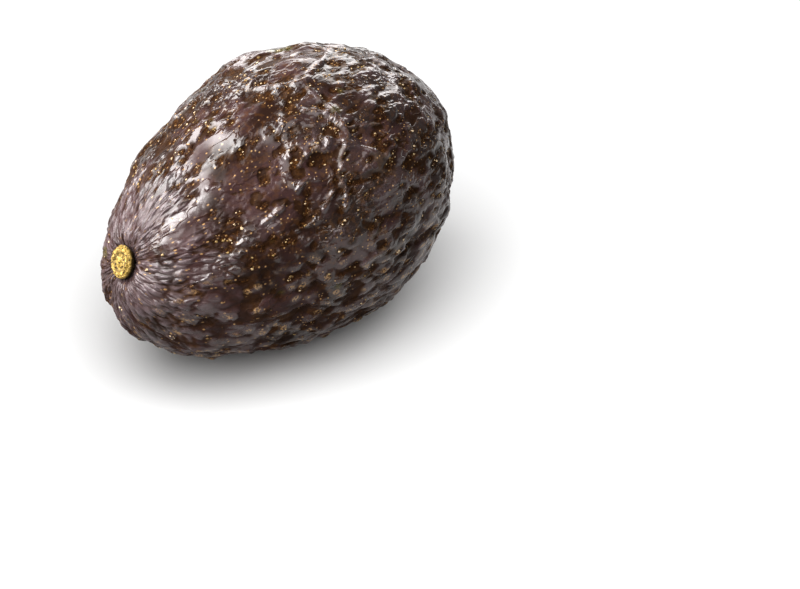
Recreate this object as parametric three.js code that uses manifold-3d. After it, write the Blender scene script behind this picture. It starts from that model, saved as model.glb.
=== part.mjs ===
// A ripe avocado lying on its side: the pebbled fruit, and the corky stem button left in its neck.
// Millimetres, +Z up, +X from the neck towards the blossom end. The origin is on the surface that the
// fruit lies on, under the middle of the fruit.
import * as THREE from "three";
import { mergeVertices } from "three/addons/utils/BufferGeometryUtils.js";
import Module from "manifold-3d";

const wasm = await Module();
wasm.setup();

// Driving dimensions of the fruit
const LENGTH = 101;
const WIDTH = 69.5;
const HEIGHT = 66.8;
const TAPER = [0.166, -0.175, -0.214]; // change of girth from the belly to the ends: first, second and third power
const NECK_BEND = new THREE.Vector3(0, 2.7, 1); // how far the neck end is carried to one side and up
const LEAN = THREE.MathUtils.degToRad(-9.3); // the neck end hangs below the belly as the fruit balances
const REST_SINK = 1.1; // depth pressed flat where the fruit lies

// Where the stalk grew, as a direction from the middle of the fruit
const STEM_DIRECTION = new THREE.Vector3(-0.911, 0.062, 0.407).normalize();
const BLOSSOM_DIRECTION = new THREE.Vector3(1, 0, 0);

// The skin's relief: rounded pebbles, drawn out into ridges that run from the stem
const SURFACE_DETAIL = 21; // steps along each edge of the starting icosahedron, less one
const BUMP_SPREAD = 0.3; // radius of a soft bump, in spacings
const BUMP_MEAN = (2 * Math.PI * BUMP_SPREAD ** 2) ** 1.5; // what bumps of mean height 1 add up to on average
const PEBBLE_SPACING = 6.2;
const PEBBLE_CAP = 1; // pebbles higher than this share of their height end in a flat plate
const PEBBLE_HEIGHT = 1.3;
const SWELL_SPACING = 24; // broad unevenness under the pebbles
const SWELL_HEIGHT = 0.5;
const RIDGE_FAN = 14; // pattern radius at which the ridges start to fan out from the stem
const RIDGE_SPREAD = 0.32; // how fast they spread past it
const RIDGE_STRETCH = 0.3; // pattern per millimetre along the ridges, where across them it is about 1
const RIDGES_FADE = [20, 75]; // distance from the stem over which ridges turn into round pebbles

// The stem button and the dimple that holds it
const BUTTON_LONG = 8;
const BUTTON_SHORT = 6.4;
const BUTTON_TURN = THREE.MathUtils.degToRad(38); // its long side leans from upright, round its own axis
const BUTTON_SIDES = 36;
const BUTTON_PROUD = 1.1; // how far its rim stands out of the dimple's floor line
const BUTTON_DEPTH = 1.7; // how far it is sunk in the neck
const BUTTON_GAP = 0.3; // clear space between the cork and the flesh round it
const DIMPLE_DEPTH = 0.8;
const DIMPLE_RADIUS = 6.5;
const SCAR_RADIUS = 5; // smooth skin round the scar of the flower, at the blossom end

const SKIN_COLOUR = 0x3a2a2b;
const CORK_COLOUR = 0xb08a3c;

// Girth of the plain body at a share of the half length, before it is scaled to the width
function girth(share) {
  return 1 + TAPER[0] * share + TAPER[1] * share ** 2 + TAPER[2] * share ** 3;
}

// The largest girth along the length, which is set to the width
function fullestGirth() {
  const steps = 400;
  let fullest = 0;
  for (let i = 0; i <= steps; i += 1) {
    const share = (2 * i) / steps - 1;
    fullest = Math.max(fullest, Math.sqrt(1 - share ** 2) * girth(share));
  }
  return fullest;
}

const FULLEST = fullestGirth();

// Point of the plain body in a direction from its middle
function bodyPoint(direction) {
  const share = girth(direction.x) / FULLEST;
  const neck = Math.max(0, -direction.x) ** 2;
  return new THREE.Vector3(
    (LENGTH / 2) * direction.x,
    (WIDTH / 2) * direction.y * share,
    (HEIGHT / 2) * direction.z * share,
  ).addScaledVector(NECK_BEND, neck);
}

// Outward normal of the plain body, from two small steps to the sides
function bodyNormal(direction) {
  const step = 0.01;
  const side = new THREE.Vector3(0, 1, 0).cross(direction).normalize();
  const rise = direction.clone().cross(side);
  const reach = (offset, sign) =>
    bodyPoint(direction.clone().addScaledVector(offset, sign * step).normalize());
  const along = reach(side, 1).sub(reach(side, -1));
  const across = reach(rise, 1).sub(reach(rise, -1));
  return along.cross(across).normalize();
}

const STEM = bodyPoint(STEM_DIRECTION);
const STEM_NORMAL = bodyNormal(STEM_DIRECTION);
const BLOSSOM = bodyPoint(BLOSSOM_DIRECTION);
const STEM_TO_BLOSSOM = BLOSSOM.clone().sub(STEM).normalize();

// Large uneven numbers that scatter the cells of a lattice
const SCATTER = new THREE.Vector3(127.1, 311.7, 74.7);
const SALT_SCATTER = 53.3;
const WAVE_SCATTER = 43758.5453;

// A number from 0 to 1 that is always the same for one cell of a lattice
function draw(cell, salt) {
  const wave = Math.sin(cell.dot(SCATTER) + salt * SALT_SCATTER) * WAVE_SCATTER;
  return wave - Math.floor(wave);
}

// Height at a point of a space filled with soft bumps, one to a lattice cell, at drawn places and heights
function bumps(point) {
  const home = point.clone().floor();
  const cell = new THREE.Vector3();
  const centre = new THREE.Vector3();
  let height = 0;
  for (let i = -1; i <= 1; i += 1) {
    for (let j = -1; j <= 1; j += 1) {
      for (let k = -1; k <= 1; k += 1) {
        cell.set(i, j, k).add(home);
        centre.set(draw(cell, 1), draw(cell, 2), draw(cell, 3)).add(cell);
        const away = centre.distanceToSquared(point);
        height += (0.5 + draw(cell, 4)) * Math.exp(-away / (2 * BUMP_SPREAD ** 2));
      }
    }
  }
  return height;
}

// Length in the pattern's own space of a run from the stem: drawn out at first, and true to size further on
function patternRun(run) {
  const [start, end] = RIDGES_FADE;
  const share = THREE.MathUtils.clamp((run - start) / (end - start), 0, 1);
  const eased = (end - start) * (share ** 3 - share ** 4 / 2) + Math.max(0, run - end);
  return RIDGE_STRETCH * run + (1 - RIDGE_STRETCH) * eased;
}

// Place of a skin point in the pattern's own space, which is stretched along the lines that leave the stem
function grain(point) {
  const fromStem = point.clone().sub(STEM);
  const run = fromStem.length();
  const outward = fromStem.clone().addScaledVector(STEM_TO_BLOSSOM, -fromStem.dot(STEM_TO_BLOSSOM));
  const rounded = THREE.MathUtils.smoothstep(run, ...RIDGES_FADE);
  const fan = THREE.MathUtils.lerp(RIDGE_FAN + RIDGE_SPREAD * run, outward.length(), rounded);
  return outward.setLength(fan).addScaledVector(STEM_TO_BLOSSOM, patternRun(run));
}

// How near a point is to a place on the skin: 1 there, and falling to 0 well past the radius
function nearness(point, place, radius) {
  return Math.exp(-((point.distanceTo(place) / radius) ** 2));
}

// How far the skin stands off the plain body at a point: pebbles, broad swells and the dimple at the stem
function relief(point) {
  const pebble = Math.min(bumps(grain(point).divideScalar(PEBBLE_SPACING)), PEBBLE_CAP) - BUMP_MEAN;
  const swell = bumps(point.clone().divideScalar(SWELL_SPACING)) - BUMP_MEAN;
  const dimple = nearness(point, STEM, DIMPLE_RADIUS);
  const calm = (1 - dimple) * (1 - nearness(point, BLOSSOM, SCAR_RADIUS));
  return (PEBBLE_HEIGHT * pebble + SWELL_HEIGHT * swell) * calm - DIMPLE_DEPTH * dimple;
}

// Turns a closed geometry into a solid that can be cut
function solidOf(geometry) {
  const bare = geometry.clone();
  bare.deleteAttribute("normal");
  bare.deleteAttribute("uv");
  const merged = mergeVertices(bare, 1e-4);
  return new wasm.Manifold(
    new wasm.Mesh({
      numProp: 3,
      vertProperties: merged.attributes.position.array,
      triVerts: new Uint32Array(merged.index.array),
    }),
  );
}

// Turns a cut solid back into a geometry
function geometryOf(solid) {
  const mesh = solid.getMesh();
  const geometry = new THREE.BufferGeometry();
  geometry.setAttribute("position", new THREE.BufferAttribute(mesh.vertProperties, 3));
  geometry.setIndex(new THREE.BufferAttribute(mesh.triVerts, 1));
  geometry.computeVertexNormals();
  return geometry;
}

// The matrix that stands a turned shape in the neck, its axis along the skin's normal
function stemFrame() {
  const across = new THREE.Vector3(0, 0, 1).cross(STEM_NORMAL).normalize();
  const upward = STEM_NORMAL.clone().cross(across);
  const seat = STEM.clone().addScaledVector(STEM_NORMAL, -DIMPLE_DEPTH);
  return new THREE.Matrix4().makeBasis(across, upward, STEM_NORMAL).setPosition(seat);
}

// A shape turned round its own axis from [radius, height] points, made oval and stood in the neck
function turnedAtStem(profile, grow) {
  const points = profile.map(([radius, height]) => new THREE.Vector2(radius, height));
  return new THREE.LatheGeometry(points, BUTTON_SIDES)
    .rotateX(Math.PI / 2)
    .scale(BUTTON_SHORT / 2 + grow, BUTTON_LONG / 2 + grow, 1)
    .rotateZ(BUTTON_TURN)
    .applyMatrix4(stemFrame());
}

// The cork: a shallow cup with a rolled rim and a low boss where the stalk broke off
function buttonGeometry() {
  const profile = [
    [0, -BUTTON_DEPTH],
    [0.72, -BUTTON_DEPTH],
    [0.94, -0.5 * BUTTON_DEPTH],
    [1, 0],
    [0.97, 0.6 * BUTTON_PROUD],
    [0.84, BUTTON_PROUD],
    [0.68, 0.9 * BUTTON_PROUD],
    [0.56, 0.62 * BUTTON_PROUD],
    [0.4, 0.72 * BUTTON_PROUD],
    [0.2, 0.95 * BUTTON_PROUD],
    [0, BUTTON_PROUD],
  ];
  return turnedAtStem(profile, 0);
}

// The hole that the cork leaves in the neck, cut from well above the skin
function socketGeometry() {
  const floor = -BUTTON_DEPTH - BUTTON_GAP;
  const mouth = 4 * BUTTON_PROUD;
  const profile = [
    [0, floor],
    [0.78, floor],
    [1, -0.5 * BUTTON_DEPTH],
    [1, mouth],
    [0, mouth],
  ];
  return turnedAtStem(profile, BUTTON_GAP);
}

// The whole skin as an even net of triangles, in the plain body's own frame
function skinGeometry() {
  const net = new THREE.IcosahedronGeometry(1, SURFACE_DETAIL);
  net.deleteAttribute("normal");
  net.deleteAttribute("uv");
  const skin = mergeVertices(net, 1e-5);
  const place = skin.attributes.position;
  for (let i = 0; i < place.count; i += 1) {
    const direction = new THREE.Vector3().fromBufferAttribute(place, i).normalize();
    const point = bodyPoint(direction);
    const raised = point.clone().addScaledVector(bodyNormal(direction), relief(point));
    place.setXYZ(i, raised.x, raised.y, raised.z);
  }
  return skin;
}

// The turn and shift that lay the fruit down, with its lowest skin pressed a little way into the surface
function layingDown(skin) {
  const leaned = skin.clone().rotateY(LEAN);
  leaned.computeBoundingBox();
  const middle = leaned.boundingBox.getCenter(new THREE.Vector3());
  const drop = leaned.boundingBox.min.z + REST_SINK;
  return new THREE.Matrix4().makeTranslation(-middle.x, -middle.y, -drop).multiply(
    new THREE.Matrix4().makeRotationY(LEAN),
  );
}

// Skin that would reach below the surface is pressed flat on it
function pressFlat(geometry) {
  const place = geometry.attributes.position;
  for (let i = 0; i < place.count; i += 1) {
    place.setZ(i, Math.max(0, place.getZ(i)));
  }
  return geometry;
}

const skin = skinGeometry();
const lay = layingDown(skin);
const solidFruit = solidOf(pressFlat(skin.applyMatrix4(lay)));
const fruitGeometry = geometryOf(solidFruit.subtract(solidOf(socketGeometry().applyMatrix4(lay))));

const fruit = new THREE.Mesh(
  fruitGeometry,
  new THREE.MeshStandardMaterial({ color: SKIN_COLOUR, roughness: 0.38, metalness: 0 }),
);
fruit.name = "fruit";

const stemButton = new THREE.Mesh(
  buttonGeometry().applyMatrix4(lay),
  new THREE.MeshStandardMaterial({ color: CORK_COLOUR, roughness: 0.8, metalness: 0 }),
);
stemButton.name = "stem_button";

const avocado = new THREE.Group();
avocado.add(fruit, stemButton);
export default avocado;
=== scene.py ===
import math

import bmesh
import bpy
import numpy as np
from mathutils import Matrix, Vector, noise
from mathutils.bvhtree import BVHTree


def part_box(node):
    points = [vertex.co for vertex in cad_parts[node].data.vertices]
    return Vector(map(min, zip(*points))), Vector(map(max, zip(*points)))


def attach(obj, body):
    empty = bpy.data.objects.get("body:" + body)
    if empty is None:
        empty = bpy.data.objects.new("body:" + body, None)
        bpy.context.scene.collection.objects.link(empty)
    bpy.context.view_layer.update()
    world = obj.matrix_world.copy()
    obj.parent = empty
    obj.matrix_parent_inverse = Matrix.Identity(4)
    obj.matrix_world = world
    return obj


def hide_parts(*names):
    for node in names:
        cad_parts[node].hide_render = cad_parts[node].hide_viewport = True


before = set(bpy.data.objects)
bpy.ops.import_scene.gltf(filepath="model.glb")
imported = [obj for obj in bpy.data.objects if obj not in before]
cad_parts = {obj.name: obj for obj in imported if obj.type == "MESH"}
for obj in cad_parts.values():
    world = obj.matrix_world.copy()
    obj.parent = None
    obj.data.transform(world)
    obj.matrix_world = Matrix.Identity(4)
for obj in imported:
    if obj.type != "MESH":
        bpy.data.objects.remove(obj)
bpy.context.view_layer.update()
MM = 0.001

# The view comes first, because the skin's long folds are placed through it. A long lens looks at the fruit
# from beyond its neck and well above, and stands level, turned so that the fruit falls left of the middle.
VIEW_AROUND = math.radians(-43.8)
VIEW_ABOVE = math.radians(32.8)
VIEW_DISTANCE = 0.6
PICTURE_WIDTH = 800
PICTURE_HEIGHT = 589
FRUIT_MIDDLE_PIXEL = (280.9, 197.8)
FOCAL_PIXELS = 2518
SENSOR_WIDTH = 36

fruit_low, fruit_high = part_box("fruit")
fruit_middle = (fruit_low + fruit_high) / 2


def towards(around, above):
    """Direction from the fruit to something that stands around it and above the horizon, in radians."""
    level = math.cos(above)
    return Vector((math.sin(around) * level, -math.cos(around) * level, math.sin(above)))


def sight_through(x, y):
    """Direction in the camera's own axes of the sight through a pixel of the picture."""
    return Vector((x - PICTURE_WIDTH / 2, PICTURE_HEIGHT / 2 - y, -FOCAL_PIXELS)).normalized()


def level_turn(sight, aim):
    """The turn of a level camera that carries a sight in its own axes onto a direction in the world."""
    pitch = math.asin(aim.z / math.hypot(sight.y, sight.z)) - math.atan2(sight.z, sight.y)
    ahead = sight.y * math.cos(pitch) - sight.z * math.sin(pitch)
    yaw = math.atan2(aim.y, aim.x) - math.atan2(ahead, sight.x)
    return Matrix.Rotation(yaw, 4, "Z") @ Matrix.Rotation(pitch, 4, "X")


to_camera = towards(VIEW_AROUND, VIEW_ABOVE)
camera = bpy.data.objects.new("view", bpy.data.cameras.new("view"))
camera.data.sensor_width = SENSOR_WIDTH
camera.data.lens = FOCAL_PIXELS * SENSOR_WIDTH / PICTURE_WIDTH
camera_turn = level_turn(sight_through(*FRUIT_MIDDLE_PIXEL), -to_camera)
camera.matrix_world = Matrix.Translation(fruit_middle + to_camera * VIEW_DISTANCE) @ camera_turn
bpy.context.scene.collection.objects.link(camera)
bpy.context.scene.camera = camera

# The body of the fruit: a closed net laid over the whole fruit and eased to a smooth, growing form. The seat
# of the stem is drawn over like a drumhead. Each point keeps its place in the skin's grain, in millimetres:
# a space where lengths along the lines that leave the stem are drawn out, and turn true towards the blossom.
NET_POINTS = 129
NET_EASING = 16
SEAT_RADIUS = 6.0 * MM
SEAT_EASING = 260
PLATE_SIZE = 3.6
PLATE_DRAWN_OUT = 0.7
RIDGE_SIZE = 1.3
RIDGE_DRAWN_OUT = 0.45
SCALE_SIZE = 2.5
SCALE_DRAWN_OUT = 0.55
GRAIN_FAN = 9.0
GRAIN_SPREAD = 0.3
GRAIN_STRETCH = 0.34
GRAIN_FADE = (10.0, 70.0)

button_low, button_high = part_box("stem_button")
stem_place = (button_low + button_high) / 2
blossom_place = max((v.co.copy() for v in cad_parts["fruit"].data.vertices), key=lambda place: place.x)
core_line = (blossom_place - stem_place).normalized()
core_side = core_line.cross(Vector((0, 0, 1))).normalized()
core_up = core_side.cross(core_line)


class Recipe:
    """Lays nodes in a tree. What is fed to them is a number, a vector or an output of another node."""

    def __init__(self, tree):
        self.tree = tree

    def feed(self, socket, value):
        if isinstance(value, bpy.types.NodeSocket):
            self.tree.links.new(value, socket)
        else:
            socket.default_value = value

    def add(self, kind, inputs=None, **settings):
        node = self.tree.nodes.new(kind)
        for name, value in settings.items():
            setattr(node, name, value)
        for key, value in (inputs or {}).items():
            self.feed(node.inputs[key], value)
        return node

    def math(self, operation, *terms):
        return self.add("ShaderNodeMath", dict(enumerate(terms)), operation=operation).outputs[0]

    def times(self, first, second):
        return self.math("MULTIPLY", first, second)

    def plus(self, first, second):
        return self.math("ADD", first, second)

    def less(self, first, second):
        return self.math("SUBTRACT", first, second)

    def most(self, first, second):
        return self.math("MAXIMUM", first, second)

    def height_of(self, place):
        return self.add("ShaderNodeSeparateXYZ", {0: place}).outputs[2]

    def vector(self, operation, *terms):
        node = self.add("ShaderNodeVectorMath", dict(enumerate(terms)), operation=operation)
        return node.outputs["Value" if operation in ("LENGTH", "DISTANCE", "DOT_PRODUCT") else "Vector"]

    def scaled(self, vector, scale):
        return self.add("ShaderNodeVectorMath", {0: vector, "Scale": scale}, operation="SCALE").outputs[0]

    def ramp(self, value, low, high, to_low=0.0, to_high=1.0):
        """A soft step: to_low where the value is at low, to_high where it is at high."""
        inputs = {0: value, 1: low, 2: high, 3: to_low, 4: to_high}
        return self.add("ShaderNodeMapRange", inputs, interpolation_type="SMOOTHSTEP").outputs[0]

    def between(self, share, first, second):
        return self.add("ShaderNodeMix", {0: share, 2: first, 3: second}, data_type="FLOAT").outputs[0]

    def cloud(self, place, size, detail=2.0, output="Fac"):
        """Soft noise with features of a size, in the units of the place."""
        inputs = {"Vector": place, "Scale": 1 / size, "Detail": detail}
        return self.add("ShaderNodeTexNoise", inputs).outputs[output]

    def wander(self, place, size, reach):
        """A place moved about by soft noise."""
        sway = self.vector("SUBTRACT", self.cloud(place, size, 1.0, "Color"), (0.5, 0.5, 0.5))
        return self.vector("ADD", place, self.scaled(sway, 2 * reach))

    def cells(self, place, size, feature="F1", output="Distance"):
        """Distances in a pattern of cells of a size, as shares of that size."""
        inputs = {"Vector": place, "Scale": 1 / size}
        return self.add("ShaderNodeTexVoronoi", inputs, feature=feature).outputs[output]

    def plates(self, grain):
        """Smooth plates of the rind with irregular pits and grooves between them: 1 on top, 0 in the pits."""
        place = self.wander(self.vector("MULTIPLY", grain, (1, 1, PLATE_DRAWN_OUT)), 5.0, 1.5)
        return self.ramp(self.cloud(place, PLATE_SIZE, 2.0), 0.37, 0.49)

    def wrinkles(self, grain, size, width, drawn_out):
        """Thin sharp creases that wind through the rind: 1 along each and 0 beside it."""
        place = self.wander(self.vector("MULTIPLY", grain, (1, 1, drawn_out)), size, size / 4)
        away = self.math("ABSOLUTE", self.less(self.cloud(place, size, 1.0), 0.5))
        return self.most(self.less(1.0, self.math("DIVIDE", away, width)), 0.0)

    def scales(self, grain):
        """Soft scales drawn out along the grain: 0 in the middle of each, most in the creases round it."""
        place = self.vector("MULTIPLY", self.wander(grain, 4.0, 0.7), (1, 1, SCALE_DRAWN_OUT))
        return self.cells(place, SCALE_SIZE)

    def ridges(self, grain):
        """Fine ridges of the rind, drawn out further than its grain: 0 between them, 1 on top."""
        place = self.wander(self.vector("MULTIPLY", grain, (1, 1, RIDGE_DRAWN_OUT)), 2.2, 0.5)
        return self.ramp(self.cells(place, RIDGE_SIZE, "DISTANCE_TO_EDGE"), 0.0, 0.3)


class Growth(Recipe):
    """A recipe in a geometry tree, with named inputs."""

    def __init__(self, name, inputs):
        super().__init__(bpy.data.node_groups.new(name, "GeometryNodeTree"))
        self.tree.interface.new_socket("Geometry", in_out="OUTPUT", socket_type="NodeSocketGeometry")
        for label, kind in inputs.items():
            self.tree.interface.new_socket(label, in_out="INPUT", socket_type="NodeSocket" + kind)
        self.given = self.tree.nodes.new("NodeGroupInput").outputs
        self.place = self.add("GeometryNodeInputPosition").outputs[0]
        self.normal = self.add("GeometryNodeInputNormal").outputs[0]

    def shape_of(self, thing):
        node = self.add("GeometryNodeObjectInfo", {"Object": thing}, transform_space="RELATIVE")
        return node.outputs["Geometry"]

    def kept(self, name, kind="FLOAT"):
        return self.add("GeometryNodeInputNamedAttribute", {"Name": name}, data_type=kind).outputs[0]

    def keep(self, geometry, name, value, kind="FLOAT"):
        inputs = {"Geometry": geometry, "Name": name, "Value": value}
        return self.add("GeometryNodeStoreNamedAttribute", inputs, data_type=kind, domain="POINT").outputs[0]

    def moved(self, geometry, **where):
        return self.add("GeometryNodeSetPosition", {"Geometry": geometry, **where}).outputs[0]

    def eased(self, geometry, rounds, weight=1.0):
        inputs = {"Value": self.place, "Iterations": rounds, "Weight": weight}
        blur = self.add("GeometryNodeBlurAttribute", inputs, data_type="FLOAT_VECTOR")
        return self.moved(geometry, Position=blur.outputs[0])

    def boxed(self, given):
        """The place of a point, brought back to the fruit's own box where it would leave it."""
        return self.vector("MINIMUM", self.vector("MAXIMUM", self.place, given["Box Low"]), given["Box High"])

    def finish(self, geometry, material=None):
        geometry = self.add("GeometryNodeRealizeInstances", {"Geometry": geometry}).outputs[0]
        if material:
            inputs = {"Geometry": geometry, "Material": material}
            geometry = self.add("GeometryNodeSetMaterial", inputs).outputs[0]
        self.feed(self.add("NodeGroupOutput").inputs[0], geometry)
        return self.tree


def grown(name, tree, inputs, start=None):
    """Runs a geometry tree once and gives what it makes as an object with a plain mesh."""
    piece = bpy.data.objects.new(name, start or bpy.data.meshes.new(name))
    modifier = piece.modifiers.new(name, "NODES")
    modifier.node_group = tree
    for item in tree.interface.items_tree:
        if item.in_out == "INPUT" and item.name in inputs:
            modifier[item.identifier] = inputs[item.name]
    bpy.context.scene.collection.objects.link(piece)
    result = bpy.data.meshes.new_from_object(piece.evaluated_get(bpy.context.evaluated_depsgraph_get()))
    piece.modifiers.remove(modifier)
    piece.data = result
    return piece


def add_grain(growth):
    """The place of a point in the skin's grain."""
    given = growth.given
    from_stem = growth.scaled(growth.vector("SUBTRACT", growth.place, given["Stem"]), 1 / MM)
    run = growth.vector("LENGTH", from_stem)
    line = given["Core Line"]
    on_line = growth.scaled(line, growth.vector("DOT_PRODUCT", from_stem, line))
    outward = growth.vector("SUBTRACT", from_stem, on_line)
    start, end = GRAIN_FADE
    rounded = growth.ramp(run, start, end)
    share = growth.math("DIVIDE", growth.less(growth.math("MINIMUM", run, end), start), end - start)
    share = growth.most(share, 0.0)
    curve = growth.times(growth.math("POWER", share, 3.0), growth.less(1.0, growth.times(share, 0.5)))
    eased = growth.plus(growth.times(curve, end - start), growth.most(growth.less(run, end), 0.0))
    along = growth.plus(growth.times(run, GRAIN_STRETCH), growth.times(eased, 1 - GRAIN_STRETCH))
    fan = growth.plus(growth.times(run, GRAIN_SPREAD), GRAIN_FAN)
    fan = growth.between(rounded, fan, growth.vector("LENGTH", outward))
    around = growth.scaled(growth.vector("NORMALIZE", outward), fan)
    grain = growth.add("ShaderNodeCombineXYZ", {
        "X": growth.vector("DOT_PRODUCT", around, given["Core Side"]),
        "Y": growth.vector("DOT_PRODUCT", around, given["Core Up"]),
        "Z": along,
    }).outputs[0]
    return grain, run


def form_tree():
    """The net, shrunk from all sides onto the fruit, eased, and given its grain."""
    growth = Growth("fruit_form", {
        "Fruit": "Object", "Middle": "Vector", "Half Size": "Vector", "Net Points": "Int", "Easing": "Int",
        "Stem": "Vector", "Core Line": "Vector", "Core Side": "Vector", "Core Up": "Vector",
        "Seat Radius": "Float", "Seat Easing": "Int",
    })
    given = growth.given
    points = given["Net Points"]
    sides = {"Size": (2, 2, 2), "Vertices X": points, "Vertices Y": points, "Vertices Z": points}
    net = growth.add("GeometryNodeMeshCube", sides).outputs["Mesh"]
    even = growth.vector("NORMALIZE", growth.vector("TANGENT", growth.scaled(growth.place, math.pi / 4)))
    arm = growth.vector("MULTIPLY", even, given["Half Size"])
    hit = growth.add("GeometryNodeRaycast", {
        "Target Geometry": growth.shape_of(given["Fruit"]),
        "Source Position": growth.vector("ADD", given["Middle"], growth.scaled(arm, 2.0)),
        "Ray Direction": growth.scaled(arm, -1.0),
    })
    form = growth.eased(growth.moved(net, Position=hit.outputs["Hit Position"]), given["Easing"])
    seat = growth.vector("DISTANCE", growth.place, given["Stem"])
    seat = growth.ramp(growth.math("DIVIDE", seat, given["Seat Radius"]), 1.0, 0.8)
    form = growth.eased(form, given["Seat Easing"], seat)
    grain, run = add_grain(growth)
    form = growth.keep(form, "grain", grain, "FLOAT_VECTOR")
    return growth.finish(growth.keep(form, "run", run))


form = grown("fruit_form", form_tree(), {
    "Fruit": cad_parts["fruit"], "Middle": fruit_middle, "Half Size": (fruit_high - fruit_low) / 2,
    "Net Points": NET_POINTS, "Easing": NET_EASING, "Stem": stem_place, "Core Line": core_line,
    "Core Side": core_side, "Core Up": core_up, "Seat Radius": SEAT_RADIUS, "Seat Easing": SEAT_EASING,
})

# Long folds, where the ripe skin has gone slack over the flesh: thin raised creases that branch over the
# shoulder and wave low on the side. Calm places, broad smooth plates with a few dents in them, lie on the
# shoulder and the neck. The courses of both are given as pixels and lie on the form under them.
FOLD_COURSES = [
    [(332, 47), (322, 60), (303, 80), (280, 85), (254, 88)],
    [(303, 81), (313, 93), (325, 103), (336, 114), (344, 126)],
    [(303, 110), (324, 112), (336, 120), (345, 126), (358, 126), (381, 122)],
    [(344, 140), (356, 145), (370, 151), (388, 155)],
    [(345, 127), (346, 143), (341, 159), (340, 175), (345, 187), (347, 197), (345, 210)],
    [(297, 166), (306, 155), (320, 146)],
    [(298, 190), (307, 179), (319, 180)],
    [(324, 209), (330, 198), (335, 191)],
    [(284, 204), (274, 214), (264, 222)],
    [(315, 144), (318, 138), (324, 137), (328, 142), (326, 148), (320, 150), (315, 144)],
    [(363, 264), (376, 255), (386, 250), (390, 241)],
    [(379, 273), (390, 264), (395, 255), (404, 246)],
    [(386, 282), (397, 273), (404, 259), (408, 250)],
    [(381, 311), (392, 295), (404, 282), (414, 270)],
]
CALM_COURSES = [
    [(160, 248), (170, 236), (182, 222)],
    [(196, 208), (206, 192)],
    [(206, 152), (222, 140), (238, 129)],
    [(212, 176), (226, 164)],
    [(250, 124), (266, 108)],
    [(285, 66), (305, 58), (325, 54)],
]
CALM_WIDTH = 4.5 * MM
DENT_APART = 3.4
DENT_DRAWN_OUT = (1, 1, 0.7)
RAGGED_SIZE = 2.5 * MM
RAGGED_REACH = 0.7 * MM
FOLD_STEPS = 10


def smooth_course(points):
    """Points along a smooth line through the given ones."""
    padded = [points[0], *points, points[-1]]
    for before, start, end, after in zip(padded, padded[1:], padded[2:], padded[3:]):
        for step in range(FOLD_STEPS):
            t = step / FOLD_STEPS
            weights = (-t + 2 * t**2 - t**3, 2 - 5 * t**2 + 3 * t**3, t + 4 * t**2 - 3 * t**3, t**3 - t**2)
            shares = zip((before, start, end, after), weights)
            yield sum((Vector(point) * weight / 2 for point, weight in shares), Vector((0, 0)))


def lines_on_form(name, courses):
    """Courses as lines on the form, where the sights through their pixels meet it."""
    surface = BVHTree.FromObject(form, bpy.context.evaluated_depsgraph_get())
    lines = bmesh.new()
    for course in courses:
        last = None
        for x, y in smooth_course(course):
            place = surface.ray_cast(camera.location, camera_turn.to_3x3() @ sight_through(x, y))[0]
            if place is None:
                last = None
                continue
            point = lines.verts.new(place)
            if last:
                lines.edges.new((last, point))
            last = point
    mesh = bpy.data.meshes.new(name)
    lines.to_mesh(mesh)
    drawn = bpy.data.objects.new(name, mesh)
    bpy.context.scene.collection.objects.link(drawn)
    return drawn


def near_lines(growth, lines, width):
    """1 on the lines of an object and 0 past a width from them, straight in between and a little ragged."""
    inputs = {
        "Geometry": growth.shape_of(lines),
        "Sample Position": growth.wander(growth.place, RAGGED_SIZE, RAGGED_REACH),
    }
    near = growth.add("GeometryNodeProximity", inputs, target_element="EDGES")
    share = growth.less(1.0, growth.math("DIVIDE", near.outputs["Distance"], width))
    return growth.most(share, 0.0)


def calm_tree():
    """Keeps 1 on the calm places and 0 off them and in their dents."""
    growth = Growth("calm_places", {"Form": "Object", "Lines": "Object", "Width": "Float"})
    calm = growth.ramp(near_lines(growth, growth.given["Lines"], growth.given["Width"]), 0.05, 0.5)
    grain = growth.vector("MULTIPLY", growth.kept("grain", "FLOAT_VECTOR"), DENT_DRAWN_OUT)
    from_dent = growth.cells(growth.wander(grain, 2.0, 0.9), DENT_APART)
    calm = growth.times(calm, growth.ramp(from_dent, 0.2, 0.32))
    return growth.finish(growth.keep(growth.shape_of(growth.given["Form"]), "calm", calm))


folds = lines_on_form("fold_lines", FOLD_COURSES)
calm_lines = lines_on_form("calm_lines", CALM_COURSES)
plain_form = form
form = grown("calm_form", calm_tree(), {"Form": plain_form, "Lines": calm_lines, "Width": CALM_WIDTH})

# Where the skin breathes: rough spots, close together over the belly and the blossom end and fewer round the
# stem. On the upper side they are dents, mostly in the pits, and low on the side they are raised knots on the
# scales. Each is drawn out along the grain and holds one or a few corky pores.
SPOT_APART = 0.9 * MM
SPOT_DENSITY = 0.28 / MM**2
SPOT_SEED = 7
SPOTS_FADE_IN = (8.0, 30.0)
SCALES_FADE = (46 * MM, 30 * MM)
KNOT_RADIUS = 1.25
KNOT_DRAWN_OUT = (1, 1, 0.6)
PORES_ELSEWHERE = 0.002
PORE_APART = 0.36 * MM
PORE_DENSITY = 4.5 / MM**2
PORE_SEED = 3


def add_scatter(growth, density_factor):
    """Places strewn over the form, no nearer to each other than a distance, that keep their grain."""
    given = growth.given
    scatter = growth.add("GeometryNodeDistributePointsOnFaces", {
        "Mesh": growth.shape_of(given["Form"]),
        "Distance Min": given["Apart"],
        "Density Max": given["Density"],
        "Density Factor": density_factor,
        "Seed": given["Seed"],
    }, distribute_method="POISSON")
    return growth.add("GeometryNodePointsToVertices", {"Points": scatter.outputs["Points"]}).outputs[0]


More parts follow.
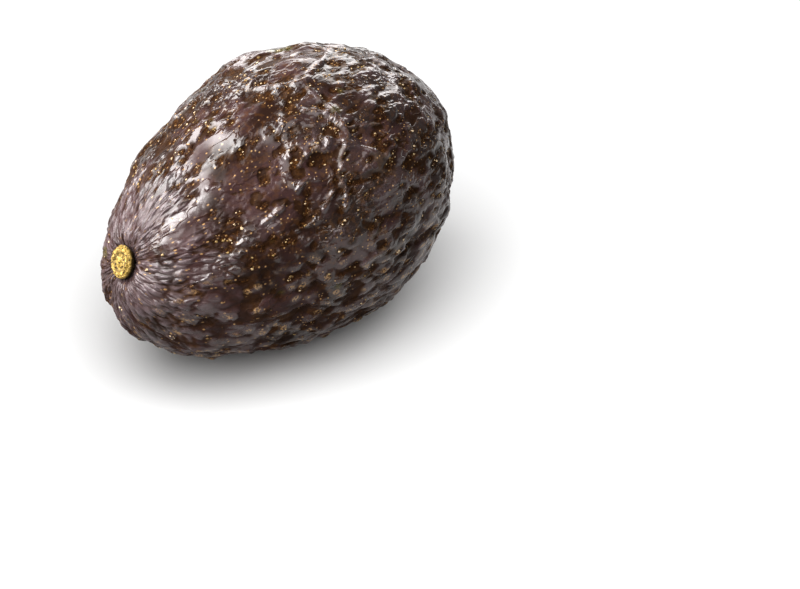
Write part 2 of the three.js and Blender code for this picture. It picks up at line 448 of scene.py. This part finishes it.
def add_knots(growth, radius):
    """1 in the middle of the nearest rough spot and 0 past a radius, measured in the grain."""
    grain = growth.vector("MULTIPLY", growth.kept("grain", "FLOAT_VECTOR"), KNOT_DRAWN_OUT)
    spots = growth.moved(growth.shape_of(growth.given["Spots"]), Position=grain)
    ragged = growth.wander(grain, 1.6, 0.75)
    inputs = {"Geometry": spots, "Sample Position": ragged}
    near = growth.add("GeometryNodeProximity", inputs, target_element="POINTS")
    return growth.most(growth.less(1.0, growth.math("DIVIDE", near.outputs["Distance"], radius)), 0.0)


def spot_tree():
    growth = Growth("rough_spots", {"Form": "Object", "Apart": "Float", "Density": "Float", "Seed": "Int"})
    grain = growth.kept("grain", "FLOAT_VECTOR")
    patches = growth.ramp(growth.cloud(grain, 9.0), 0.34, 0.58, 0.3, 1.0)
    clear_of_stem = growth.ramp(growth.kept("run"), *SPOTS_FADE_IN, 0.25, 1.0)
    in_pits = growth.ramp(growth.plates(grain), 0.2, 0.9, 1.0, 0.3)
    on_scales = growth.ramp(growth.scales(grain), 0.4, 0.15, 0.1, 1.0)
    low = growth.ramp(growth.height_of(growth.place), *SCALES_FADE)
    lively = growth.less(1.0, growth.kept("calm"))
    share = growth.times(growth.between(low, in_pits, on_scales), lively)
    share = growth.times(growth.times(patches, clear_of_stem), share)
    return growth.finish(add_scatter(growth, share))


def pore_place_tree():
    growth = Growth("pore_places", {
        "Form": "Object", "Spots": "Object", "Knot Radius": "Float", "Apart": "Float", "Density": "Float",
        "Seed": "Int",
    })
    share = growth.ramp(add_knots(growth, growth.given["Knot Radius"]), 0.6, 0.9, PORES_ELSEWHERE, 1.0)
    return growth.finish(add_scatter(growth, share))


spots = grown("rough_spots", spot_tree(), {
    "Form": form, "Apart": SPOT_APART, "Density": SPOT_DENSITY, "Seed": SPOT_SEED,
})
pore_places = grown("pore_places", pore_place_tree(), {
    "Form": form, "Spots": spots, "Knot Radius": KNOT_RADIUS, "Apart": PORE_APART, "Density": PORE_DENSITY,
    "Seed": PORE_SEED,
})

# The rind: thin, tough and pebbled, nearly black-purple when ripe, with a waxy gloss. Fine ridges leave the
# stem and turn into smooth plates with pits between them over the shoulder, and into rows of small scales
# low on the side. It carries the relief in its own mesh, and its colours and its gloss follow that relief:
# painted sheen lies on its crests and ridges, and painted shade in its pits and between its scales.
PLATE_HEIGHT = 0.31
RIDGE_HEIGHT = 0.32
LUMP_SIZE = 3.6
LUMP_HEIGHT = 0.22
BROAD_SIZE = 9.0
BROAD_HEIGHT = 0.45
KNOT_HEIGHT = 0.42
CALM_RELIEF = 0.15
WRINKLE = (4.2, 0.08, 0.55)
WRINKLE_HEIGHT = 0.28
CRINKLE = (2.2, 0.06, 0.6)
CRINKLE_HEIGHT = 0.11 * MM
STREAK = (1.9, 0.13, 0.3)
STREAK_HEIGHT = 0.14 * MM
GRIT_HEIGHT = 0.07 * MM
SCALE_HEIGHT = 0.52
FINE_BUMP = 0.024 * MM
RIDGE_BUMP = 0.09 * MM
CORK_BUMP = 0.3 * MM
PLATE_BUMP = 0.07 * MM
PIT_GLOSS = 0.08
PLATE_GLOSS = 0.72
KNOTS_SINK = (20 * MM, 38 * MM)
KNOT_PIT = -0.6
FOLD_WIDTH = 1.0 * MM
FOLD_HEIGHT = 0.75
SEAT_GROOVE = 0.4
SEAT_SINK = 0.9
SCAR_SIZE = 2.6 * MM
SCAR_SINK = 0.5
SKIN_SINK = 0.2

PURPLE_BROWN = (0.046, 0.025, 0.024, 1)
BLACK_BROWN = (0.020, 0.010, 0.007, 1)
RUST = (0.058, 0.025, 0.009, 1)
SHADE_AND_PIT_BROWN = (0.022, 0.009, 0.003, 1)
GOLD_BROWN = (0.085, 0.038, 0.010, 1)
SHEEN_MAUVE_GREY = (0.085, 0.062, 0.066, 1)
FLECK_TAN = (0.27, 0.17, 0.08, 1)
STREAK_HIGHLIGHT_GREY = (0.17, 0.135, 0.140, 1)
OLIVE = (0.060, 0.052, 0.010, 1)

button_points = np.array([v.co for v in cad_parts["stem_button"].data.vertices])
button_axes = np.linalg.eigh(np.cov((button_points - stem_place).T))[1]
button_out = Vector(button_axes[:, 0])
if button_out.dot(stem_place - fruit_middle) < 0:
    button_out = -button_out
button_long = Vector(button_axes[:, 2])
button_across = button_out.cross(button_long)
long_half, short_half = (
    np.ptp(button_points @ np.array(axis)) / 2 for axis in (button_long, button_across)
)


class Finish(Recipe):
    """A recipe in a material, ending in one Principled shader."""

    def __init__(self, name, **constants):
        self.material = bpy.data.materials.new(name)
        self.material.use_nodes = True
        super().__init__(self.material.node_tree)
        self.shader = self.tree.nodes["Principled BSDF"]
        for socket, value in constants.items():
            self.shader.inputs[socket.replace("_", " ")].default_value = value

    def kept(self, name, output="Fac"):
        return self.add("ShaderNodeAttribute", attribute_name=name).outputs[output]

    def place(self):
        return self.scaled(self.add("ShaderNodeTexCoord").outputs["Object"], 1 / MM)

    def tint(self, share, first, second):
        return self.add("ShaderNodeMix", {0: share, 6: first, 7: second}, data_type="RGBA").outputs[2]

    def rise(self, height, distance, under=None):
        """A bump of a height field from 0 to 1, as deep as the distance in metres."""
        node = self.add("ShaderNodeBump", {"Height": height, "Distance": distance})
        if under:
            self.feed(node.inputs["Normal"], under)
        return node.outputs[0]

    def wear(self, **fields):
        for socket, value in fields.items():
            self.feed(self.shader.inputs[socket.replace("_", " ")], value)
        return self.material


def rind_finish():
    """Dark rind: painted sheen on its crests and ridges, brown with painted shade in its pits and between its
    scales, and glossy on its plates alone.
    """
    finish = Finish("avocado_rind")
    grain = finish.kept("grain", "Vector")
    place = finish.place()
    relief = finish.kept("relief")
    run = finish.kept("run")
    calm = finish.kept("calm")
    lively = finish.less(1.0, calm)
    plates = finish.most(finish.plates(grain), calm)
    ridges = finish.ridges(grain)
    fine = finish.cloud(finish.wander(grain, 2.0, 0.5), 0.5, 3.0)
    near_stem = finish.times(finish.ramp(run, 36.0, 10.0), lively)
    dull_neck = finish.times(finish.ramp(run, 26.0, 10.0), lively)
    streaks = finish.times(finish.wrinkles(grain, *STREAK), near_stem)

    blotches = finish.ramp(finish.cloud(place, 11.0, 3.0), 0.4, 0.62)
    colour = finish.tint(blotches, PURPLE_BROWN, BLACK_BROWN)
    warm = finish.ramp(finish.cloud(place, 5.0, 3.0), 0.4, 0.56)
    groove = finish.times(finish.ramp(plates, 0.7, 0.1), warm)
    colour = finish.tint(finish.times(groove, 0.8), colour, RUST)
    crumbs = finish.cloud(place, 0.5, 2.0)
    knot = finish.kept("knot")
    cork = finish.ramp(knot, 0.5, 0.72)
    above = finish.height_of(place)
    high = finish.ramp(above, 18.0, 34.0, 0.3, 1.0)
    # The pits and dents are darker brown, partly their own colour and partly painted shade in the hollows,
    # full on the upper side and weaker low on it.
    pit_brown_and_shade = finish.ramp(plates, 0.7, 0.1, 0.0, 0.85)
    pit_brown_and_shade = finish.most(pit_brown_and_shade, finish.ramp(knot, 0.1, 0.5, 0.0, 0.85))
    colour = finish.tint(finish.times(pit_brown_and_shade, high), colour, SHADE_AND_PIT_BROWN)
    corky = finish.times(cork, finish.ramp(crumbs, 0.48, 0.62, 0.0, 0.7))
    colour = finish.tint(corky, colour, GOLD_BROWN)
    crinkled = finish.ramp(finish.cloud(place, 6.0), 0.42, 0.6)
    crinkles = finish.times(finish.wrinkles(grain, *CRINKLE), crinkled)
    worn = finish.ramp(finish.kept("fold"), 0.45, 0.9, 0.0, 0.75)
    worn = finish.most(worn, finish.kept("scar"))
    worn = finish.most(worn, finish.times(crinkles, 0.35))
    worn = finish.times(worn, finish.ramp(crumbs, 0.4, 0.6))
    colour = finish.tint(worn, colour, GOLD_BROWN)
    # Painted sheen: a paler mauve grey on the crests of the relief, where the waxy skin would catch the
    # light.
    crest_sheen = finish.times(finish.ramp(relief, 0.54, 0.85), finish.ramp(fine, 0.4, 0.62, 0.05, 0.6))
    colour = finish.tint(crest_sheen, colour, SHEEN_MAUVE_GREY)
    # Painted sheen: the same paler mauve grey on the fine ridges round the stem.
    neck_sheen = finish.times(ridges, finish.ramp(fine, 0.35, 0.65, 0.3, 0.9))
    neck_sheen = finish.times(near_stem, neck_sheen)
    colour = finish.tint(neck_sheen, colour, SHEEN_MAUVE_GREY)
    # Painted highlight: a pale grey along the crests of the streaks round the stem.
    colour = finish.tint(finish.times(finish.ramp(streaks, 0.3, 0.9), 0.3), colour, STREAK_HIGHLIGHT_GREY)
    mottle = finish.ramp(finish.cloud(finish.wander(grain, 2.0, 0.6), 1.4, 3.0), 0.5, 0.64, 0.0, 0.28)
    colour = finish.tint(finish.times(mottle, finish.ramp(run, 20.0, 40.0)), colour, GOLD_BROWN)
    scale = finish.scales(grain)
    low = finish.times(finish.ramp(above, 44.0, 28.0), finish.ramp(run, 8.0, 24.0))
    # Painted shade in the creases between the scales low on the side.
    scale_gap_shade = finish.times(finish.ramp(scale, 0.5, 0.75, 0.0, 0.55), low)
    colour = finish.tint(scale_gap_shade, colour, SHADE_AND_PIT_BROWN)
    tip = finish.times(finish.ramp(scale, 0.32, 0.18), finish.ramp(crumbs, 0.44, 0.54))
    colour = finish.tint(finish.times(tip, finish.times(low, 0.75)), colour, FLECK_TAN)
    speck = finish.ramp(finish.cells(grain, 0.7), 0.34, 0.18)
    lucky = finish.ramp(finish.cells(grain, 0.7, output="Color"), 0.58, 0.68)
    flecked = finish.ramp(finish.cloud(place, 4.0), 0.42, 0.54)
    speck = finish.times(finish.times(speck, lucky), flecked)
    colour = finish.tint(finish.times(speck, 0.85), colour, FLECK_TAN)
    unripe = finish.ramp(finish.cloud(place, 9.0), 0.68, 0.76, 0.0, 0.6)
    colour = finish.tint(unripe, colour, OLIVE)

    roughness = finish.ramp(plates, 0.2, 0.8, 0.5, 0.14)
    roughness = finish.plus(roughness, finish.ramp(fine, 0.4, 0.7, 0.0, 0.06))
    roughness = finish.plus(roughness, finish.times(cork, 0.2))
    roughness = finish.plus(roughness, finish.times(dull_neck, 0.18))
    roughness = finish.plus(roughness, finish.ramp(above, 32.0, 14.0, 0.0, 0.16))

    normal = finish.rise(fine, FINE_BUMP)
    grit = finish.cells(finish.wander(grain, 1.5, 0.4), 1.2)
    grit = finish.times(finish.ramp(grit, 0.6, 0.0), lively)
    normal = finish.rise(grit, GRIT_HEIGHT, normal)
    normal = finish.rise(finish.times(ridges, near_stem), RIDGE_BUMP, normal)
    normal = finish.rise(finish.times(crumbs, cork), CORK_BUMP, normal)
    normal = finish.rise(crinkles, CRINKLE_HEIGHT, normal)
    normal = finish.rise(streaks, STREAK_HEIGHT, normal)
    normal = finish.rise(finish.ramp(plates, 0.3, 0.7), PLATE_BUMP, normal)

    gloss = finish.ramp(relief, 0.2, 0.46, PIT_GLOSS, PLATE_GLOSS)
    gloss = finish.times(gloss, finish.ramp(knot, 0.1, 0.6, 1.0, 0.5))
    gloss = finish.times(gloss, finish.ramp(above, 14.0, 34.0, 0.75, 1.0))
    gloss = finish.times(gloss, finish.ramp(dull_neck, 0.0, 1.0, 1.0, 0.6))
    return finish.wear(Base_Color=colour, Roughness=roughness, Specular_IOR_Level=gloss, Normal=normal)


def relief_tree(material):
    """Lifts and sinks the form along its normals, and keeps the relief as a field for the colours."""
    growth = Growth("rind_relief", {
        "Form": "Object", "Folds": "Object", "Spots": "Object", "Plate Height": "Float",
        "Ridge Height": "Float", "Lump Height": "Float", "Broad Height": "Float", "Knot Height": "Float",
        "Knot Radius": "Float", "Fold Height": "Float", "Fold Width": "Float", "Stem": "Vector",
        "Long Side": "Vector", "Short Side": "Vector", "Blossom": "Vector", "Scar Size": "Float",
        "Box Low": "Vector", "Box High": "Vector",
    })
    given = growth.given
    grain = growth.kept("grain", "FLOAT_VECTOR")
    run = growth.kept("run")
    near_stem = growth.ramp(run, 38.0, 12.0)
    plate = growth.times(growth.less(growth.plates(grain), 0.7), given["Plate Height"])
    ridge = growth.less(growth.ridges(grain), 0.6)
    ridge = growth.times(growth.times(ridge, given["Ridge Height"]), near_stem)
    lump = growth.less(growth.cloud(grain, LUMP_SIZE, 1.0), 0.5)
    lump = growth.times(lump, growth.times(given["Lump Height"], 2.0))
    broad = growth.less(growth.cloud(grain, BROAD_SIZE, 0.0), 0.5)
    broad = growth.times(broad, growth.times(given["Broad Height"], 2.0))
    crease = near_lines(growth, given["Folds"], given["Fold Width"])
    crease = growth.times(crease, growth.ramp(growth.cloud(grain, 3.0), 0.3, 0.55, 0.65, 1.0))
    fold = growth.times(crease, given["Fold Height"])
    knot = add_knots(growth, given["Knot Radius"])
    boss = growth.times(growth.ramp(knot, 0.0, 0.9), given["Knot Height"])
    above = growth.height_of(growth.place)
    boss = growth.times(boss, growth.ramp(above, *KNOTS_SINK, 1.0, KNOT_PIT))
    wrinkle = growth.wrinkles(grain, *WRINKLE)
    slack = growth.ramp(growth.cloud(growth.place, 12.0 * MM), 0.4, 0.56, 0.1, 1.0)
    wrinkle = growth.times(wrinkle, slack)
    wrinkle = growth.times(wrinkle, growth.ramp(run, 12.0, 40.0, 0.0, WRINKLE_HEIGHT))
    dome = growth.less(0.2, growth.math("POWER", growth.scales(grain), 2.0))
    low = growth.times(growth.ramp(above, *SCALES_FADE, 0.12, 1.0), growth.ramp(run, 8.0, 24.0))
    scale = growth.times(dome, growth.times(low, SCALE_HEIGHT * 2))
    skin = plate
    for part in (ridge, lump, boss, scale, wrinkle):
        skin = growth.plus(skin, part)
    skin = growth.between(growth.kept("calm"), skin, growth.times(skin, CALM_RELIEF))
    for part in (broad, fold):
        skin = growth.plus(skin, part)
    from_blossom = growth.vector("DISTANCE", growth.place, given["Blossom"])
    scar = growth.ramp(growth.math("DIVIDE", from_blossom, given["Scar Size"]), 1.0, 0.4)
    skin = growth.between(scar, skin, growth.times(growth.cloud(grain, 1.2), -SCAR_SINK * 2))
    skin = growth.less(skin, SKIN_SINK)

    from_stem = growth.vector("SUBTRACT", growth.place, given["Stem"])
    oval = growth.math(
        "SQRT",
        growth.math(
            "ADD",
            growth.math("POWER", growth.vector("DOT_PRODUCT", from_stem, given["Long Side"]), 2.0),
            growth.math("POWER", growth.vector("DOT_PRODUCT", from_stem, given["Short Side"]), 2.0),
        ),
    )
    at_stem = growth.ramp(run, 12.0, 6.0)
    level = growth.ramp(oval, 1.6, 1.1, 1.0, 0.35)
    skin = growth.times(skin, growth.between(at_stem, 1.0, level))
    groove = growth.ramp(growth.math("ABSOLUTE", growth.less(oval, 1.1)), 0.28, 0.0)
    groove = growth.times(groove, SEAT_GROOVE)
    sunk = growth.ramp(oval, 1.05, 0.85, 0.0, SEAT_SINK)
    seat = growth.times(growth.plus(groove, sunk), at_stem)
    skin = growth.less(skin, seat)

    rind = growth.shape_of(given["Form"])
    rind = growth.keep(rind, "relief", growth.ramp(skin, -0.6, 0.6))
    rind = growth.keep(rind, "knot", knot)
    rind = growth.keep(rind, "fold", crease)
    rind = growth.keep(rind, "scar", scar)
    rind = growth.moved(rind, Offset=growth.scaled(growth.normal, growth.times(skin, MM)))
    rind = growth.moved(rind, Position=growth.boxed(given))
    rind = growth.add("GeometryNodeSetShadeSmooth", {"Geometry": rind}).outputs[0]
    return growth.finish(rind, material)


rind = grown("rind", relief_tree(rind_finish()), {
    "Form": form, "Folds": folds, "Spots": spots, "Plate Height": PLATE_HEIGHT,
    "Ridge Height": RIDGE_HEIGHT, "Lump Height": LUMP_HEIGHT, "Broad Height": BROAD_HEIGHT,
    "Knot Height": KNOT_HEIGHT, "Knot Radius": KNOT_RADIUS,
    "Fold Height": FOLD_HEIGHT, "Fold Width": FOLD_WIDTH, "Stem": stem_place,
    "Long Side": button_long / long_half, "Short Side": button_across / short_half,
    "Blossom": blossom_place, "Scar Size": SCAR_SIZE, "Box Low": fruit_low, "Box High": fruit_high,
})
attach(rind, "root")
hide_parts("fruit")

# The pores: low warts of dry golden cork that push through the rind and stand just proud of it. They grow in
# groups in the rough spots, a little longer than wide, and none grows on the seat or where the fruit rests.
PORE_RADIUS = (0.09, 0.34)
PORE_LENGTH = 1.35
PORE_FLATNESS = 0.55
PORE_SIDES = 6
PORE_RINGS = 4
PORE_LOWEST = 1.2 * MM
PORE_PALE = (0.50, 0.40, 0.27, 1)
PORE_GOLD = (0.22, 0.15, 0.052, 1)
PORE_BROWN = (0.09, 0.042, 0.014, 1)


def pore_finish():
    finish = Finish("pore_cork", Specular_IOR_Level=0.4)
    tone = finish.kept("tone")
    crumb = finish.cloud(finish.place(), 0.16, 2.0)
    colour = finish.tint(finish.ramp(tone, 0.15, 0.5), PORE_BROWN, PORE_GOLD)
    colour = finish.tint(finish.ramp(tone, 0.45, 0.85), colour, PORE_PALE)
    colour = finish.tint(finish.ramp(crumb, 0.5, 0.62, 0.0, 0.6), colour, PORE_BROWN)
    roughness = finish.ramp(crumb, 0.3, 0.7, 0.42, 0.7)
    return finish.wear(Base_Color=colour, Roughness=roughness, Normal=finish.rise(crumb, 0.08 * MM))


def pore_tree(material):
    growth = Growth("pores", {
        "Places": "Object", "Rind": "Object", "Small": "Float", "Large": "Float", "Stem": "Vector",
        "Clear Of Stem": "Float", "Lowest": "Float", "Seed": "Int", "Box Low": "Vector", "Box High": "Vector",
    })
    given = growth.given
    rind_shape = growth.shape_of(given["Rind"])

    def on_rind(value):
        inputs = {"Mesh": rind_shape, "Value": value, "Sample Position": growth.place}
        return growth.add("GeometryNodeSampleNearestSurface", inputs, data_type="FLOAT_VECTOR").outputs[0]

    points = growth.add("GeometryNodeMeshToPoints", {"Mesh": growth.shape_of(given["Places"])}).outputs[0]
    points = growth.keep(points, "outward", on_rind(growth.normal), "FLOAT_VECTOR")
    points = growth.moved(points, Position=on_rind(growth.place))
    high = growth.math("GREATER_THAN", growth.height_of(growth.place), given["Lowest"])
    from_stem = growth.vector("DISTANCE", growth.place, given["Stem"])
    clear = growth.math("GREATER_THAN", from_stem, given["Clear Of Stem"])
    size = growth.add("FunctionNodeRandomValue", {"Seed": given["Seed"]}).outputs[1]
    tone = growth.add("FunctionNodeRandomValue", {"Seed": growth.plus(given["Seed"], 1.0)}).outputs[1]
    points = growth.keep(points, "tone", tone)
    radius = growth.between(growth.math("POWER", size, 1.6), given["Small"], given["Large"])
    shape = growth.add("ShaderNodeCombineXYZ", {
        "X": growth.times(radius, PORE_LENGTH),
        "Y": radius,
        "Z": growth.times(radius, PORE_FLATNESS),
    }).outputs[0]
    outward = growth.kept("outward", "FLOAT_VECTOR")
    upright = growth.add("FunctionNodeAlignRotationToVector", {"Vector": outward}, axis="Z")
    along = growth.vector("SUBTRACT", growth.place, given["Stem"])
    turned = growth.add(
        "FunctionNodeAlignRotationToVector",
        {"Rotation": upright.outputs[0], "Vector": along},
        axis="X", pivot_axis="Z",
    )
    sides = {"Segments": PORE_SIDES, "Rings": PORE_RINGS, "Radius": MM}
    wart = growth.add("GeometryNodeMeshUVSphere", sides).outputs["Mesh"]
    pores = growth.add("GeometryNodeInstanceOnPoints", {
        "Points": points, "Selection": growth.times(high, clear), "Instance": wart,
        "Rotation": turned.outputs[0], "Scale": shape,
    }).outputs[0]
    pores = growth.add("GeometryNodeRealizeInstances", {"Geometry": pores}).outputs[0]
    pores = growth.moved(pores, Position=growth.boxed(given))
    pores = growth.add("GeometryNodeSetShadeSmooth", {"Geometry": pores}).outputs[0]
    return growth.finish(pores, material)


pores = grown("pores", pore_tree(pore_finish()), {
    "Places": pore_places, "Rind": rind, "Small": PORE_RADIUS[0], "Large": PORE_RADIUS[1],
    "Stem": stem_place, "Clear Of Stem": SEAT_RADIUS, "Lowest": PORE_LOWEST, "Seed": PORE_SEED,
    "Box Low": fruit_low, "Box High": fruit_high,
})
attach(pores, "root")
for helper in (plain_form, form, spots, pore_places, folds, calm_lines):
    bpy.data.objects.remove(helper)

# The stem button: the dry corky end of the stalk, left in the neck when the fruit was picked. An oval plug
# with a rolled rim, a ring groove, a broken boss and fine cracks that run out over the rim.
BUTTON_SIDES = 108
BUTTON_RINGS = 46
BUTTON_RIM_ENDS = 0.62
BUTTON_FOOT_STARTS = 0.9
BUTTON_STRAW = (0.42, 0.30, 0.10, 1)
BUTTON_GOLD = (0.20, 0.135, 0.022, 1)
BUTTON_BROWN = (0.030, 0.015, 0.004, 1)


def button_profile(share):
    """Distance from the axis and height over the plug's middle, from the boss over the rim to the foot."""
    if share < BUTTON_RIM_ENDS:
        out = share / BUTTON_RIM_ENDS
        rim = math.exp(-(((out - 0.8) / 0.2) ** 2))
        boss = math.exp(-((out / 0.42) ** 2))
        return 0.9 * out, 0.45 + 0.5 * rim + 0.42 * boss - 0.25 * out**8
    if share < BUTTON_FOOT_STARTS:
        down = (share - BUTTON_RIM_ENDS) / (BUTTON_FOOT_STARTS - BUTTON_RIM_ENDS)
        return 0.9 + 0.1 * math.sin(math.pi * min(1, down * 1.2)) - 0.06 * down, 0.7 - 1.5 * down
    foot = (share - BUTTON_FOOT_STARTS) / (1 - BUTTON_FOOT_STARTS)
    return 0.84 * (1 - foot), -0.8 - 0.2 * foot


def button_mesh():
    depth = np.ptp(button_points @ np.array(button_out)) / 2
    sheet = bmesh.new()
    rings = []
    for i in range(1, BUTTON_RINGS):
        out, height = button_profile(i / BUTTON_RINGS)
        ring = []
        for k in range(BUTTON_SIDES):
            turn = 2 * math.pi * k / BUTTON_SIDES
            seed = Vector((math.cos(turn) * out * 2.2, math.sin(turn) * out * 2.2, height))
            lump = noise.fractal(seed * 1.1, 0.8, 2.1, 4)
            crack = abs(noise.noise(Vector((math.cos(turn), math.sin(turn), 0.25 * out)) * 7.0))
            crack = max(0.0, 1 - crack / 0.12) * min(1.0, 1.6 * out)
            rise = height + 0.16 * lump - 0.2 * crack
            wide = out * (1 + 0.035 * noise.noise(Vector((math.cos(turn), math.sin(turn), 3.0)) * 2.5))
            place = stem_place + button_long * long_half * wide * math.cos(turn)
            place = place + button_across * short_half * wide * math.sin(turn) + button_out * depth * rise
            ring.append(sheet.verts.new(place))
        rings.append(ring)
    top = sheet.verts.new(stem_place + button_out * depth * 0.86)
    foot = sheet.verts.new(stem_place - button_out * depth)
    for k in range(BUTTON_SIDES):
        after = (k + 1) % BUTTON_SIDES
        sheet.faces.new((top, rings[0][k], rings[0][after]))
        sheet.faces.new((foot, rings[-1][after], rings[-1][k]))
        for inner, outer in zip(rings, rings[1:]):
            sheet.faces.new((inner[k], outer[k], outer[after], inner[after]))
    bmesh.ops.recalc_face_normals(sheet, faces=sheet.faces)
    mesh = bpy.data.meshes.new("stem_cork")
    sheet.to_mesh(mesh)
    # Painted shade kept on each point: darker in the ring groove on top and down the sides and foot of the
    # plug.
    edge = mesh.attributes.new("edge", "FLOAT", "POINT")
    for vertex in mesh.vertices:
        from_middle = vertex.co - stem_place
        along = from_middle.dot(button_long) / long_half
        across = from_middle.dot(button_across) / short_half
        oval = math.hypot(along, across)
        rise = from_middle.dot(button_out) / depth
        groove = math.exp(-(((oval - 0.52) / 0.09) ** 2)) * 0.55 if rise > 0 else 0.0
        edge.data[vertex.index].value = max(groove, min(0.85, max(0.0, (0.25 - rise) / 0.5)))
    mesh.shade_smooth()
    return mesh


def button_finish():
    finish = Finish("stem_cork", Specular_IOR_Level=0.35)
    place = finish.place()
    streaks = finish.cloud(finish.wander(place, 1.5, 0.4), 0.7, 4.0)
    colour = finish.tint(finish.ramp(streaks, 0.36, 0.64), BUTTON_GOLD, BUTTON_STRAW)
    pits = finish.ramp(finish.cells(finish.wander(place, 0.6, 0.2), 0.8), 0.42, 0.2)
    pits = finish.times(pits, finish.ramp(finish.cloud(place, 1.2), 0.42, 0.52))
    cracks = finish.ramp(finish.cells(finish.wander(place, 1.0, 0.4), 1.5, "DISTANCE_TO_EDGE"), 0.09, 0.02)
    cracks = finish.times(cracks, finish.ramp(finish.cloud(place, 0.9), 0.4, 0.55))
    # Pits and cracks are darker cork; the ring groove and the foot of the plug get painted shade.
    worn = finish.most(finish.most(pits, cracks), finish.kept("edge"))
    colour = finish.tint(worn, colour, BUTTON_BROWN)
    crumb = finish.cloud(place, 0.22, 3.0)
    normal = finish.rise(crumb, 0.16 * MM)
    return finish.wear(Base_Color=colour, Roughness=finish.ramp(crumb, 0.3, 0.7, 0.5, 0.75), Normal=normal)


stem_cork = bpy.data.objects.new("stem_cork", button_mesh())
stem_cork.data.materials.append(button_finish())
bpy.context.scene.collection.objects.link(stem_cork)
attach(stem_cork, "root")
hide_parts("stem_button")

# The floor: a plain white table top that runs out of the view.
FLOOR_SIDE = 6
FLOOR_WHITE = (0.62, 0.62, 0.62, 1)
floor_mesh = bpy.data.meshes.new("floor")
half = FLOOR_SIDE / 2
floor_corners = [(-half, -half, 0), (half, -half, 0), (half, half, 0), (-half, half, 0)]
floor_mesh.from_pydata(floor_corners, [], [(0, 1, 2, 3)])
floor = bpy.data.objects.new("floor", floor_mesh)
floor_finish = Finish("floor_white", Base_Color=FLOOR_WHITE, Roughness=0.75, Specular_IOR_Level=0.1)
floor_mesh.materials.append(floor_finish.material)
bpy.context.scene.collection.objects.link(floor)

# The light: a broad softbox over the fruit's left shoulder, and weaker ones in front, beside, behind and
# above, reach the fruit alone. The table has a soft light of its own, and the room is dim. Each has its
# degrees round the fruit and above the table, its distance, its sides, its brightness and what it lights.
fruit_pieces = (rind, pores, stem_cork)
SOFTBOXES = {
    "key": (-134, 50, 1.4, (1.9, 1.05), 10.0, fruit_pieces),
    "front": (-88, 39, 1.4, (0.9, 0.9), 5.0, fruit_pieces),
    "side": (-152, 12, 1.5, (1.6, 0.6), 5.2, fruit_pieces),
    "back": (130, 22, 1.6, (1.5, 1.1), 4.5, fruit_pieces),
    "top": (-44, 68, 1.4, (1.5, 1.2), 2.3, fruit_pieces),
    "table": (-50, 64, 1.3, (2.0, 2.0), 3.9, (floor,)),
}
ROOM_BRIGHTNESS = 0.3
VIEW_EXPOSURE = 0.15
VIEW_GAMMA = 0.8


def softbox(name, around, above, distance, sides, brightness, lit):
    light = bpy.data.lights.new(name, "AREA")
    light.shape = "RECTANGLE"
    light.size, light.size_y = sides
    light.energy = brightness * math.pi * sides[0] * sides[1]
    lamp = bpy.data.objects.new(name, light)
    aim = towards(math.radians(around), math.radians(above))
    aim_turn = aim.to_track_quat("Z", "Y").to_matrix().to_4x4()
    lamp.matrix_world = Matrix.Translation(fruit_middle + aim * distance) @ aim_turn
    bpy.context.scene.collection.objects.link(lamp)
    lamp.light_linking.receiver_collection = bpy.data.collections.new(name)
    for thing in lit:
        lamp.light_linking.receiver_collection.objects.link(thing)


for name, values in SOFTBOXES.items():
    softbox(name, *values)
world = bpy.data.worlds.new("room")
world.use_nodes = True
world.node_tree.nodes["Background"].inputs["Color"].default_value = (1, 1, 1, 1)
world.node_tree.nodes["Background"].inputs["Strength"].default_value = ROOM_BRIGHTNESS
bpy.context.scene.world = world
bpy.context.scene.view_settings.view_transform = "Standard"
bpy.context.scene.view_settings.exposure = VIEW_EXPOSURE
bpy.context.scene.view_settings.gamma = VIEW_GAMMA
